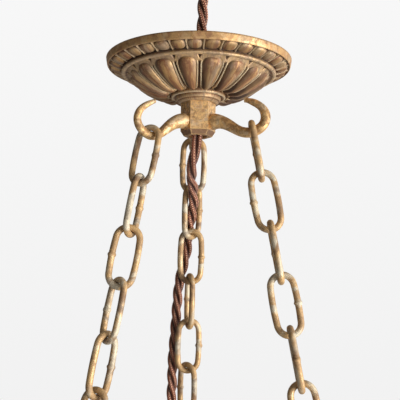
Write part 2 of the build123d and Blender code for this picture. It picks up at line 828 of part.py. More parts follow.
def beside_chain(down, left, behind):
    """Point beside the rear chain: distance down it from its hook, then offsets."""
    azimuth = radians(hook_azimuth["rear"])
    slope = radians(chain_slope)
    to_left = Vector(-sin(azimuth), cos(azimuth), 0)
    to_back = radial(hook_azimuth["rear"], cos(slope), sin(slope))
    return hook_seat["rear"] + chain_direction("rear") * down + to_left * left + to_back * behind


hub_exit = [
    (0.0, 0.0, sway_z - flex_swing_gap / 2),
    (0.0, 0.0, -50.2),
    (-1.4, 4.5, -56.6),
    (-3.9, 15.3, -60.1),
    (-1.6, 28.5, -66.5),
    (-1.4, 37.2, -79.1),
]
# One turn of the weave, through the chain's second link and behind the next four, then
# back to the front: (down the chain, to the left, behind the chain)
weave = [
    (55.8, 1.0, 7.0),
    (73.0, 2.3, 7.6),
    (89.5, 6.9, 6.9),
    (106.0, 7.8, 6.4),
    (124.0, 8.8, 4.1),
    (143.0, 10.0, 4.7),
    (162.0, 9.8, 2.1),
    (181.0, 11.1, -0.5),
    (200.0, 11.8, -6.3),
    (219.0, 6.4, -8.7),
    (238.0, 2.6, -7.8),
    (256.2, 0.2, -7.9),
    (270.5, -0.7, -6.5),
]
weave_length = 8 * link_step
last_weave_count = 3
chain_route = [Vector(*p) for p in hub_exit]
for turn in range(2):
    chain_route += [beside_chain(down + turn * weave_length, left, behind) for down, left, behind in weave]
for down, left, behind in weave[:last_weave_count]:
    chain_route.append(beside_chain(down + 2 * weave_length, left, behind))
chain_route += [beside_chain(chain_length - 12.9, 11.0, 5.6), beside_chain(chain_length + 0.6, 13.6, 4.0)]
save("flex_chain", flex_tube("flex_chain", chain_route))

flex_heading = (chain_route[-1] - chain_route[-2]).normalized()
bowl_entry = chain_route[-1] + flex_heading * flex_swing_gap


def in_bowl(outward, left, below_rim):
    """Point in the bowl on the rear chain's side, from the pendant's axis outward."""
    azimuth = radians(hook_azimuth["rear"])
    across = Vector(-sin(azimuth), cos(azimuth), 0)
    return radial(hook_azimuth["rear"], outward, bowl_rim_z - below_rim) + across * left


bowl_route = [
    bowl_entry,
    bowl_entry + flex_heading * 15,
    in_bowl(154.0, 16.5, 11.1),
    in_bowl(148.0, 16.0, 34.1),
    in_bowl(133.0, 14.0, 56.1),
    in_bowl(111.0, 10.5, 77.1),
    in_bowl(86.0, 7.0, 93.1),
    in_bowl(60.0, 3.0, 102.4),
    in_bowl(36.0, 0.0, bowl_rim_z - entry_z),
    in_bowl(16.0, 0.0, bowl_rim_z - entry_z),
]
save("flex_bowl", flex_tube("flex_bowl", bowl_route))

# Three-pole terminal block at the flex's upper end, in the ceiling box
block_place = Pos(upper_route[-1][0], 0, flex_tail_top)
block = block_place * Pos(0, 0, block_height / 2) * Box(block_width, block_depth, block_height)
pole_pitch = block_width / 3
pole_z = block_height / 2
screws = []
for pole in (-1, 0, 1):
    face = block_place * Pos(pole * pole_pitch, -block_depth / 2, pole_z) * Rot(90, 0, 0)
    collar = Cylinder(block_screw_radius + block_collar_wall, block_collar)
    well = Cylinder(block_screw_radius + block_well_play, 2 * block_collar)
    block += face * Pos(0, 0, block_collar / 2) * collar
    block -= face * well
    screw = Cylinder(block_screw_radius, block_collar)
    slot_place = Pos(0, 0, block_collar / 2)
    screw -= slot_place * Box(3 * block_screw_radius, block_screw_slot_width, 2 * block_screw_slot_depth)
    screws.append(face * Pos(0, 0, -block_collar / 2) * screw)
save("terminal_block", block)
save("terminal_screws", screws)

print("hole z", round(hole_z, 2), "rim z", round(bowl_rim_z, 2), "floor z", round(floor_z, 2))
print("entry z", round(entry_z, 2), "bulb top z", round(bulb_top, 2), "finial bottom", round(finial_bottom, 2))
for side in hook_azimuth:
    print("chain end", side, [round(v, 2) for v in chain_end(side)])
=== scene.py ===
"""Looks of the bowl pendant: aged pressed canopy, hexagonal hub, bent hooks, welded link
chains, twisted braided flex, alabaster bowl with its hangers, lampholder and bulb."""

from math import cos, pi, radians, sin, sqrt

import bmesh
import bpy
import numpy as np
from mathutils import Matrix, Vector


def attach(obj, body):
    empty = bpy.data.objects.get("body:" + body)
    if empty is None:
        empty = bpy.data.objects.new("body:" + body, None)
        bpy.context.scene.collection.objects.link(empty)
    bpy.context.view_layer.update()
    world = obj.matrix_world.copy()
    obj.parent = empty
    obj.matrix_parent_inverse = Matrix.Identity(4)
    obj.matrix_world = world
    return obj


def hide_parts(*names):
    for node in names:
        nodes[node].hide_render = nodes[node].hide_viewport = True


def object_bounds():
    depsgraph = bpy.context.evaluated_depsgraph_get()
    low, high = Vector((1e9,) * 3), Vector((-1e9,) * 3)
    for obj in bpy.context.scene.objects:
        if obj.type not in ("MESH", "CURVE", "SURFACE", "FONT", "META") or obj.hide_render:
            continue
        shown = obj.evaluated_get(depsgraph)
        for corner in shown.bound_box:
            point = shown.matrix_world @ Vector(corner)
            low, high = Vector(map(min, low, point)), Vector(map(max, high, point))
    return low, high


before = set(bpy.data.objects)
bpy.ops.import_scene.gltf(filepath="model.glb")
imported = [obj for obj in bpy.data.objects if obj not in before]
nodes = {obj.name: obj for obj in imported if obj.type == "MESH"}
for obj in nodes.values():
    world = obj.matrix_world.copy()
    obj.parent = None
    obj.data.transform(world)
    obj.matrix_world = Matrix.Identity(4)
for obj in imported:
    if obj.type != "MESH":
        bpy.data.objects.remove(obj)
cad_low, cad_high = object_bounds()
scene = bpy.context.scene

# ---------------------------------------------------------------- camera, room and floor
# The camera stands under the canopy and looks a little up at it. The room is near white
# behind, bright on the right like a wide window, and dim on the left.
camera_place = Vector((0.0, -0.43097, -0.13485))
camera_yaw = radians(0.24)
camera_pitch = radians(6.884)
camera_roll = radians(0.808)
camera_lens = 66.9
camera_film = 36.0
nearest_seen = 0.01
room_bottom, room_top = 0.885, 0.935
bottom_end, top_end = -0.15, 0.4
left_light, right_light, rear_light = 0.03, 0.85, 0.2
left_end, right_end = -0.7, 1.0
front_end, rear_end = -0.5, 1.0
floor_drop = 1.5
floor_side = 6.0
floor_grey = 0.82
floor_roughness = 0.9
seen_floor_lift = 0.38

forward = Vector(
    (sin(camera_yaw) * cos(camera_pitch), cos(camera_yaw) * cos(camera_pitch), sin(camera_pitch))
)
level = Vector((cos(camera_yaw), -sin(camera_yaw), 0.0))
above = level.cross(forward)
camera_x = level * cos(camera_roll) + above * sin(camera_roll)
camera_y = above * cos(camera_roll) - level * sin(camera_roll)
camera_data = bpy.data.cameras.new("camera")
camera_data.sensor_width = camera_film
camera_data.lens = camera_lens
camera_data.clip_start = nearest_seen
camera = bpy.data.objects.new("camera", camera_data)
camera.matrix_world = Matrix.Translation(camera_place) @ Matrix(
    (camera_x, camera_y, -forward)
).transposed().to_4x4()
scene.collection.objects.link(camera)
scene.camera = camera
scene.view_settings.view_transform = "Standard"


def feed(node, feeds):
    """Set a node's inputs, by name or index, each to a value or to another node's socket."""
    for name, value in feeds.items():
        if isinstance(value, bpy.types.NodeSocket):
            node.id_data.links.new(value, node.inputs[name])
        else:
            node.inputs[name].default_value = value


def add_node(tree, kind, feeds=None, **settings):
    """Add a node with its settings and what feeds it."""
    node = tree.nodes.new(kind)
    for name, value in settings.items():
        setattr(node, name, value)
    feed(node, feeds or {})
    return node


def new_material(name):
    """Material with its node tree and its Principled shader."""
    material = bpy.data.materials.new(name)
    material.use_nodes = True
    return material, material.node_tree, material.node_tree.nodes["Principled BSDF"]


def ramp(tree, value, low, high, to_low=0.0, to_high=1.0, blend="SMOOTHSTEP"):
    """Step of a value from one range to another, smooth unless the blend is LINEAR."""
    node = add_node(
        tree,
        "ShaderNodeMapRange",
        {"Value": value, "From Min": low, "From Max": high, "To Min": to_low, "To Max": to_high},
        interpolation_type=blend,
    )
    return node.outputs["Result"]


def math_node(tree, operation, first, second=0.0, clamp=False):
    """One arithmetic step."""
    feeds = {0: first, 1: second}
    node = add_node(tree, "ShaderNodeMath", feeds, operation=operation, use_clamp=clamp)
    return node.outputs[0]


def grey(value):
    """Neutral colour of one linear value."""
    return (value, value, value, 1.0)


room = bpy.data.worlds.new("room")
room.use_nodes = True
scene.world = room
tree = room.node_tree
tree.nodes.clear()
direction = add_node(tree, "ShaderNodeTexCoord").outputs["Generated"]
axes = add_node(tree, "ShaderNodeSeparateXYZ", {"Vector": direction})
seen_level = ramp(tree, axes.outputs["Z"], bottom_end, top_end, room_bottom, room_top, "LINEAR")
side_level = ramp(tree, axes.outputs["X"], left_end, right_end, left_light, right_light)
rear_share = ramp(tree, axes.outputs["Y"], front_end, rear_end, 0.0, rear_light, "LINEAR")
lit_level = math_node(tree, "ADD", side_level, rear_share)
is_seen = add_node(tree, "ShaderNodeLightPath").outputs["Is Camera Ray"]
room_level = add_node(
    tree, "ShaderNodeMix", {"Factor": is_seen, 2: lit_level, 3: seen_level}, data_type="FLOAT"
).outputs[0]
room_colour = add_node(
    tree, "ShaderNodeCombineColor", {0: room_level, 1: room_level, 2: room_level}
)
background = add_node(tree, "ShaderNodeBackground", {"Color": room_colour.outputs["Color"]})
add_node(tree, "ShaderNodeOutputWorld", {"Surface": background.outputs["Background"]})


def add_lamp(name, place, target, size, power):
    """Square soft lamp at a place, facing a target."""
    data = bpy.data.lights.new(name, "AREA")
    data.size = size
    data.energy = power
    lamp = bpy.data.objects.new(name, data)
    lamp.location = place
    lamp.rotation_mode = "QUATERNION"
    lamp.rotation_quaternion = (Vector(target) - Vector(place)).to_track_quat("-Z", "Y")
    scene.collection.objects.link(lamp)


canopy_middle = (0.0, 0.0, -0.06)
add_lamp("lamp_right", (0.98, -0.50, -0.26), canopy_middle, 0.7, 13.5)
add_lamp("lamp_left", (-0.9, -0.9, 0.1), canopy_middle, 0.5, 0.5)
add_lamp("lamp_below", (1.0, -0.85, -0.75), (0.0, 0.0, -0.45), 0.9, 15.0)

floor_mesh = bpy.data.meshes.new("floor")
floor_corners = ((-1, -1), (1, -1), (1, 1), (-1, 1))
floor_mesh.from_pydata(
    [(x * floor_side, y * floor_side, 0) for x, y in floor_corners], [], [(0, 1, 2, 3)]
)
floor_mesh.transform(Matrix.Translation((0, 0, cad_low.z - floor_drop)))
floor_paint, tree, shader = new_material("floor_paint")
is_seen = add_node(tree, "ShaderNodeLightPath").outputs["Is Camera Ray"]
lift = math_node(tree, "MULTIPLY", is_seen, seen_floor_lift)
feed(shader, {"Base Color": grey(floor_grey), "Roughness": floor_roughness})
feed(shader, {"Emission Color": grey(1.0), "Emission Strength": lift})
floor_mesh.materials.append(floor_paint)
floor = bpy.data.objects.new("floor", floor_mesh)
scene.collection.objects.link(floor)


# ---------------------------------------------------------------- strap, rod and screws
# Zinc-plated steel out of sight above the canopy: pressed strap, hollow threaded rod with
# two nuts and a plastic bush, and a brass earth screw.

# Patina ranges: where a mask starts and where it is full, then its least and most value
edge_range = (0.995, 0.90)
edge_patch_range = (0.38, 0.52)
brown_range = (0.40, 0.58)
dark_range = (0.50, 0.66)
pale_range = (0.48, 0.64)
rub_and_highlight_range = (0.25, 0.55, 0.45, 1.0)
dirt_and_shade_range = (0.70, 0.40, 0.7, 1.0)
polish_range = (0.62, 0.42, 0.35, 1.0)
grain_range = (0.30, 0.62)
grain_scale = 1900.0
broad_share = 0.4
edge_bareness = 0.7
grain_shade = 0.22
bare_gloss = 0.5
dull_metal_loss = 0.4
least_roughness, dull_roughness, grain_roughness = 0.24, 0.22, 0.14
patch_height, grain_height = 0.7, 0.2
metal_bump_strength = 0.8
metal_specular = 0.45
same_point = 0.000002
rounding_steps = 3
sharp_angle = radians(28)


def display(red, green, blue):
    """Linear colour of an 8-bit display colour."""
    channels = []
    for value in (red, green, blue):
        share = value / 255
        channels.append(share / 12.92 if share <= 0.04045 else ((share + 0.055) / 1.055) ** 2.4)
    return (*channels, 1.0)


def new_group(name, inputs, outputs):
    """Shader node group with named sockets; returns it with its inner ends."""
    group = bpy.data.node_groups.new(name, "ShaderNodeTree")
    for label, kind, start in inputs:
        socket = group.interface.new_socket(label, in_out="INPUT", socket_type=kind)
        socket.default_value = start
    for label, kind in outputs:
        group.interface.new_socket(label, in_out="OUTPUT", socket_type=kind)
    entry = group.nodes.new("NodeGroupInput")
    exit_node = group.nodes.new("NodeGroupOutput")
    return group, entry.outputs, exit_node.inputs


def mix_colour(tree, factor, first, second):
    """Blend of two colours."""
    feeds = {"Factor": factor, 6: first, 7: second}
    return add_node(tree, "ShaderNodeMix", feeds, data_type="RGBA").outputs[2]


def noise(tree, place, scale, detail, **settings):
    """Noise node; its first output is the value."""
    feeds = {"Vector": place, "Scale": scale, "Detail": detail, **settings}
    return add_node(tree, "ShaderNodeTexNoise", feeds)


def make_patina_group():
    """Patina over bare metal as a colour, a roughness, a bare-metal mask and a height."""
    colour, value = "NodeSocketColor", "NodeSocketFloat"
    group, start, end = new_group(
        "patina",
        [
            ("Bare", colour, display(190, 150, 95)),
            ("Brown", colour, display(96, 72, 46)),
            ("Dark", colour, display(52, 34, 24)),
            ("Pale", colour, display(150, 150, 125)),
            ("Patch Scale", value, 150.0),
            ("Brown Amount", value, 0.7),
            ("Pale Amount", value, 0.2),
            ("Dark Amount", value, 0.3),
            ("Metal", value, 0.9),
            ("Dirt", value, 0.0),
            ("Rub", value, 0.0),
            ("Polish", value, 0.0),
            ("Satin", value, 0.0),
            ("Edge Width", value, 0.0006),
            ("Place", "NodeSocketVector", (0.0, 0.0, 0.0)),
        ],
        [("Colour", colour), ("Roughness", value), ("Bare Metal", value), ("Height", value)],
    )
    place = start["Place"]
    scale = start["Patch Scale"]
    patches = noise(group, place, scale, 7.0, Roughness=0.66).outputs[0]
    broad_scale = math_node(group, "MULTIPLY", scale, broad_share)
    broad = noise(group, place, broad_scale, 4.0, Distortion=1.2)
    grain = noise(group, place, grain_scale, 3.0, Roughness=0.7).outputs[0]
    tints = add_node(group, "ShaderNodeSeparateColor", {"Color": broad.outputs["Color"]}).outputs

    def masked(value, value_range, amount):
        """Ramp of a value times the amount that the material asks for."""
        return math_node(group, "MULTIPLY", ramp(group, value, *value_range), amount, True)

    true_normal = add_node(group, "ShaderNodeNewGeometry").outputs["Normal"]
    rounded = add_node(group, "ShaderNodeBevel", {"Radius": start["Edge Width"]}, samples=4)
    likeness = add_node(
        group,
        "ShaderNodeVectorMath",
        {0: true_normal, 1: rounded.outputs[0]},
        operation="DOT_PRODUCT",
    ).outputs["Value"]
    edge_patch = ramp(group, patches, *edge_patch_range)
    edge = math_node(group, "MULTIPLY", ramp(group, likeness, *edge_range), edge_patch)

    brown_mask = masked(patches, brown_range, start["Brown Amount"])
    dark_mask = masked(tints["Green"], dark_range, start["Dark Amount"])
    pale_mask = masked(tints["Red"], pale_range, start["Pale Amount"])
    # The rub and dirt inputs bring painted highlight and painted shade along with real wear and
    # dirt
    rub_and_highlight_mask = math_node(group, "MULTIPLY", start["Rub"], ramp(group, patches, *rub_and_highlight_range))
    pale_mask = math_node(group, "MAXIMUM", pale_mask, rub_and_highlight_mask)
    dirt_and_shade_mask = math_node(group, "MULTIPLY", start["Dirt"], ramp(group, patches, *dirt_and_shade_range))
    dark_mask = math_node(group, "MAXIMUM", dark_mask, dirt_and_shade_mask)
    polish_patch = ramp(group, tints["Blue"], *polish_range)
    polished = math_node(group, "MULTIPLY", start["Polish"], polish_patch)
    bare_edge = math_node(group, "MULTIPLY", edge, edge_bareness)
    bare_mask = math_node(group, "MAXIMUM", bare_edge, polished)
    browned = mix_colour(group, brown_mask, start["Bare"], start["Brown"])
    bloomed = mix_colour(group, pale_mask, browned, start["Pale"])
    dirtied = mix_colour(group, dark_mask, bloomed, start["Dark"])
    rubbed = mix_colour(group, bare_mask, dirtied, start["Bare"])
    shaded = mix_colour(group, grain_shade, rubbed, start["Dark"])
    speckled = mix_colour(group, ramp(group, grain, *grain_range), shaded, rubbed)
    group.links.new(speckled, end["Colour"])

    pale_or_dark = math_node(group, "MAXIMUM", pale_mask, dark_mask)
    dull = math_node(group, "MAXIMUM", brown_mask, pale_or_dark)
    gloss = math_node(group, "MULTIPLY", bare_mask, bare_gloss)
    dull = math_node(group, "SUBTRACT", dull, gloss, True)
    rough = math_node(group, "MULTIPLY", dull, dull_roughness)
    rough = math_node(group, "ADD", rough, least_roughness)
    grain_rough = math_node(group, "MULTIPLY", grain, grain_roughness)
    rough = math_node(group, "ADD", rough, grain_rough)
    rough = math_node(group, "ADD", rough, start["Satin"])
    group.links.new(rough, end["Roughness"])
    dull_loss = math_node(group, "MULTIPLY", dull, dull_metal_loss)
    metal_share = math_node(group, "SUBTRACT", 1.0, dull_loss)
    metal_share = math_node(group, "MULTIPLY", metal_share, start["Metal"])
    group.links.new(metal_share, end["Bare Metal"])
    patch_relief = math_node(group, "MULTIPLY", patches, patch_height)
    grain_relief = math_node(group, "MULTIPLY", grain, grain_height)
    surface = math_node(group, "ADD", patch_relief, grain_relief)
    group.links.new(surface, end["Height"])
    return group


patina_group = make_patina_group()


def add_bump(tree, shader, height, depth, strength):
    """Feed a shader's normal from a height, in metres at its full value."""
    feeds = {"Height": height, "Distance": depth, "Strength": strength}
    bumped = add_node(tree, "ShaderNodeBump", feeds)
    tree.links.new(bumped.outputs["Normal"], shader.inputs["Normal"])


def aged_metal(name, bare, brown, dark, pale, relief=False, bump=0.00012, **amounts):
    """Material of one aged metal; relief reads the masks and the drawn-out place of the mesh."""
    material, tree, shader = new_material(name)
    patina = add_node(tree, "ShaderNodeGroup", node_tree=patina_group)
    for label, tone in (("Bare", bare), ("Brown", brown), ("Dark", dark), ("Pale", pale)):
        patina.inputs[label].default_value = display(*tone)
    for label, amount in amounts.items():
        patina.inputs[label.replace("_", " ").title()].default_value = amount
    place = add_node(tree, "ShaderNodeTexCoord").outputs["Object"]
    if relief:
        place = add_node(tree, "ShaderNodeAttribute", attribute_name="place").outputs["Vector"]
        # The dirt and rub masks read here hold painted shade and painted highlight as well as dirt
        # and wear
        for label in ("Dirt", "Rub", "Polish"):
            mask = add_node(tree, "ShaderNodeAttribute", attribute_name=label.lower())
            tree.links.new(mask.outputs["Fac"], patina.inputs[label])
    feed(patina, {"Place": place})
    feed(
        shader,
        {
            "Base Color": patina.outputs["Colour"],
            "Roughness": patina.outputs["Roughness"],
            "Metallic": patina.outputs["Bare Metal"],
            "Specular IOR Level": metal_specular,
        },
    )
    add_bump(tree, shader, patina.outputs["Height"], bump, metal_bump_strength)
    return material


def dress(node, material, edge=0.0003):
    """Give a CAD node its material, smooth shading and softened edges."""
    piece = nodes[node]
    piece.data.materials.clear()
    piece.data.materials.append(material)
    normals = piece.data.attributes.get("custom_normal")
    if normals is not None:
        piece.data.attributes.remove(normals)
    piece.data.polygons.foreach_set("use_smooth", [True] * len(piece.data.polygons))
    weld = piece.modifiers.new("weld", "WELD")
    weld.merge_threshold = same_point
    rounding = piece.modifiers.new("rounding", "BEVEL")
    rounding.width = edge
    rounding.segments = rounding_steps
    rounding.limit_method = "ANGLE"
    rounding.angle_limit = sharp_angle
    rounding.harden_normals = True


zinc = aged_metal(
    "zinc_plate",
    bare=(186, 188, 186), brown=(136, 136, 130), dark=(96, 92, 84), pale=(170, 170, 162),
    patch_scale=320.0,
    brown_amount=0.5, pale_amount=0.3, dark_amount=0.15,
    bump=0.00005,
)
for node in ("mounting_strap", "rod_nuts", "ceiling_rod", "centre_rod", "base_nut"):
    dress(node, zinc, 0.00025)
bright_brass = aged_metal(
    "bright_brass",
    bare=(214, 178, 104), brown=(156, 118, 62), dark=(92, 66, 38), pale=(188, 172, 128),
    patch_scale=260.0,
    brown_amount=0.4, pale_amount=0.1, dark_amount=0.15,
    bump=0.00005,
)
for node in ("earth_screw", "terminal_screws", "centre_contact"):
    dress(node, bright_brass, 0.00015)


skin_scale, cloud_scale = 1800.0, 90.0
skin_depth, skin_strength = 0.00003, 0.6
skin_roughness = 0.08
cloud_lightening = 1.25


def moulded(name, colour, roughness):
    """Moulded plastic with a fine matt skin."""
    material, tree, shader = new_material(name)
    place = add_node(tree, "ShaderNodeTexCoord").outputs["Object"]
    skin = noise(tree, place, skin_scale, 4.0).outputs[0]
    cloud = noise(tree, place, cloud_scale, 2.0).outputs[0]
    lighter = tuple(min(1.0, cloud_lightening * c) for c in colour[:3]) + (1.0,)
    clouded = mix_colour(tree, ramp(tree, cloud, 0.3, 0.7), colour, lighter)
    rough = ramp(tree, skin, 0.2, 0.8, roughness - skin_roughness, roughness + skin_roughness)
    feed(shader, {"Base Color": clouded, "Roughness": rough})
    add_bump(tree, shader, skin, skin_depth, skin_strength)
    return material


dark_plastic = moulded("dark_plastic", display(36, 32, 30), 0.45)
pale_plastic = moulded("pale_plastic", display(226, 222, 208), 0.42)
for node in ("rod_bush", "flex_entry_bush"):
    dress(node, dark_plastic, 0.0002)
dress("terminal_block", pale_plastic, 0.0004)

# ---------------------------------------------------------------- canopy
# Brass sheet pressed over a die: plain rim band, 33 rounded lobes between thin ribs, a raised
# half-round ring, 17 domed petals with flat borders, and a smooth shallow centre cone.
# Masks on this mesh paint shade on the sides of lobes and petals away from the light and at the
# lobes' feet, and paint highlights on lit sides, lobe crowns and petal borders, along with dirt,
# wear and polish
canopy_radius = 55.0
canopy_wall = 1.2
relief_depth = 3.4
relief_rim, relief_centre = 53.0, 12.0
inner_rim = 53.8
canopy_hole = 5.3
centre_thickness = 1.2
hub_seat_depth = 25.6
canopy_outline = [
    (54.4, 4.0),
    (52.8, 4.6),
    (46.2, 7.3),
    (45.2, 8.4),
    (43.6, 8.6),
    (41.0, 11.0),
    (38.4, 13.5),
    (33.9, 16.7),
    (28.5, 19.7),
    (22.5, 22.1),
    (19.1, 23.0),
    (17.5, 23.4),
    (10.35, 25.6),
]
rim_groove = 53.45
lobe_count = 33
lobe_turn = -2.2
lobe_top, lobe_foot = 52.9, 46.3
lobe_rise, lobe_sink = 1.7, 1.3
rib_width, rib_rise = 1.0, 1.1
ring_middle, ring_width, ring_rise = 44.7, 2.5, 0.7
ring_side_depth = 0.4
petal_count = 17
petal_turn = 11.5
petal_shoulder, petal_top, petal_foot = 37.6, 42.9, 17.6
petal_edge = 43.1
foot_length = 3.2
petal_rise, petal_sink, dome_rise = 0.95, 1.3, 1.9
border_width, border_rise = 1.2, 0.45
valley_width = 0.9
groove_depth = 0.25
web_start, web_full = 38.8, 40.4
pit_reach, pit_half_width, pit_depth = 2.3, 1.45, 0.9
collar_middle, collar_width, collar_rise = 16.0, 1.7, 0.5
collar_sink = 0.9
throat_middle, throat_width, throat_depth = 14.5, 0.6, 0.6
bead_middle, bead_width, bead_rise = 13.3, 0.5, 0.3
throat_groove, throat_groove_width, throat_groove_depth = 12.4, 0.25, 0.3
rim_groove_width, rim_groove_depth = 0.22, 0.5
centre_rise = 1.3
hub_edge, hub_edge_width = 11.0, 0.9
# Slight unevenness of the worked die: waves round the dish, swing in degrees and offset
wanders = ((5, 0.35, 1.0), (11, 0.25, 2.0))
# Share of the radius added along the axis where the patina is placed, so that its patches
# run down the petals
drawn_out = 0.3


def add_piece(name, points, faces, body, replaced=(), material=None):
    """New smooth-shaded mesh that rides on a body, in metres, from points in millimetres."""
    mesh = bpy.data.meshes.new(name)
    mesh.from_pydata((np.asarray(points, float) / 1000).tolist(), [], faces)
    mesh.polygons.foreach_set("use_smooth", [True] * len(mesh.polygons))
    mesh.update()
    if material is not None:
        mesh.materials.append(material)
    piece = bpy.data.objects.new(name, mesh)
    scene.collection.objects.link(piece)
    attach(piece, body)
    if replaced:
        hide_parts(*replaced)
    return piece


def grid_faces(rows, columns, close_rows=False, first=0):
    """Quads between consecutive rows of points that close round each row."""
    faces = []
    for row in range(rows if close_rows else rows - 1):
        here = first + row * columns
        there = first + (row + 1) % rows * columns
        for column in range(columns):
            after = (column + 1) % columns
            faces.append((here + column, here + after, there + after, there + column))
    return faces


def smooth_share(value, low, high):
    """Smooth step from 0 at low to 1 at high."""
    share = np.clip((value - low) / (high - low), 0.0, 1.0)
    return share * share * (3.0 - 2.0 * share)


def bell(value, middle, width):
    """1 at the middle, falling off smoothly to each side."""
    return np.exp(-(((value - middle) / width) ** 2))


def turn_from(azimuth, middle, count):
    """Angle from the nearest of evenly spaced middles, in radians."""
    pitch = 360.0 / count
    return np.radians((azimuth - middle + pitch / 2) % pitch - pitch / 2)


def lobe_relief(radius, azimuth):
    """Height, dirt with painted shade, and rub with painted highlight of the lobes between ribs,
    next to the rim band.
    """
    turn = turn_from(azimuth, lobe_turn, lobe_count)
    across = radius * np.sin(turn)
    half_room = radius * sin(pi / lobe_count)
    middle, half_height = (lobe_top + lobe_foot) / 2, (lobe_top - lobe_foot) / 2
    out_of_lobe = (np.abs(across) / (half_room - 0.75 * rib_width)) ** 2.6
    out_of_lobe += (np.abs(radius - middle) / half_height) ** 3
    lobe = np.clip(1.0 - out_of_lobe, 0.0, 1.0) ** 0.5
    past_foot = smooth_share(radius, lobe_foot - 0.4, lobe_foot)
    within = past_foot * smooth_share(radius, lobe_top + 0.5, lobe_top + 0.1)
    rib = bell(half_room - np.abs(across), 0.0, 0.55 * rib_width) * within
    height = within * (lobe_rise * lobe - lobe_sink) + rib_rise * rib
    gap = within * (1.0 - smooth_share(lobe, 0.1, 0.55)) * (1.0 - rib)
    # Painted shade on the side of each lobe away from the light and towards its foot
    shaded_side = within * lobe * smooth_share(-across / half_room, -0.5, 0.7)
    foot = smooth_share(radius, middle + 1.0, lobe_foot + 0.6) * within * lobe
    dirt = 0.8 * gap + 0.55 * shaded_side + 0.4 * foot
    # Painted highlight on the crown of each lobe, kept off its shaded side
    crown_highlight = within * lobe * smooth_share(radius, middle + 0.5, lobe_top - 0.6)
    return height, dirt, 0.8 * rib + 0.35 * crown_highlight * (1.0 - shaded_side)


def petal_relief(radius, azimuth):
    """Height, dirt with painted shade, and rub with painted highlight of the petals: domed field,
    round border, narrow valley, web and pit.
    """
    turn = turn_from(azimuth, petal_turn, petal_count)
    across = radius * np.sin(turn)
    half_room = radius * sin(pi / petal_count)
    past_shoulder = np.clip(radius - petal_shoulder, 0.0, None)
    past_foot = np.clip(petal_foot + foot_length - radius, 0.0, None)

    half_petal = half_room - valley_width / 2
    out_of_petal = (np.abs(across) / half_petal) ** 2.8
    shoulder = petal_top - petal_shoulder
    out_of_petal += (past_shoulder / shoulder) ** 2.8 + (past_foot / foot_length) ** 3
    half_field = half_petal - border_width
    out_of_field = (np.abs(across) / half_field) ** 2.5
    out_of_field += (past_shoulder / (petal_top - border_width - petal_shoulder)) ** 2.5
    out_of_field += (past_foot / (foot_length - 0.7 * border_width)) ** 3

    inside_edge = smooth_share(radius, petal_edge + 0.2, petal_edge - 0.2)
    zone = smooth_share(radius, petal_foot - 1.0, petal_foot - 0.2) * inside_edge
    web = smooth_share(radius, web_start, web_full)
    petal = np.maximum(smooth_share(out_of_petal, 1.12, 0.84), web)
    dome = np.clip(1.0 - out_of_field, 0.0, 1.0) ** 0.6
    field = smooth_share(out_of_field, 1.05, 0.85)
    from_field = np.clip((out_of_field - 1.0) / 0.9, 0.0, 1.0)
    border = np.sin(pi * from_field) * petal * (1.0 - web)
    groove = bell(out_of_field, 1.03, 0.10) * petal
    from_valley = half_room - np.abs(across)
    from_pit = radius - (petal_edge - pit_reach)
    pit_edge = pit_half_width * from_pit / pit_reach
    pit = smooth_share(pit_edge - from_valley, -0.15, 0.35) * (from_pit > 0)
    raised = petal_rise * (petal - 1.0) + dome_rise * dome + border_rise * border
    height = zone * (raised - groove_depth * groove - pit_depth * pit - petal_sink)
    # Painted shade on the side of each field away from the light; the field is also darker towards
    # the centre
    shaded_side = field * smooth_share(-across / half_room, -0.25, 0.62)
    low_side = field * smooth_share(radius, 33.0, 24.0)
    dirt = (1.0 - petal) * 1.1 + 0.6 * groove + 0.85 * shaded_side + 0.3 * low_side + pit
    # Pale on the raised borders, most along their middle line: worn metal with a painted highlight;
    # the lit side of each field gets a painted highlight as well
    rub = petal * (1.0 - field) * (1.0 - pit) * (0.35 + 0.75 * border)
    lit_side = field * smooth_share(across / half_room, 0.25, 0.7)
    lit_side *= smooth_share(radius, 24.0, 38.0)
    return height, zone * np.clip(dirt, 0.0, 1.0), zone * np.clip(rub + 0.35 * lit_side, 0.0, 1.0)


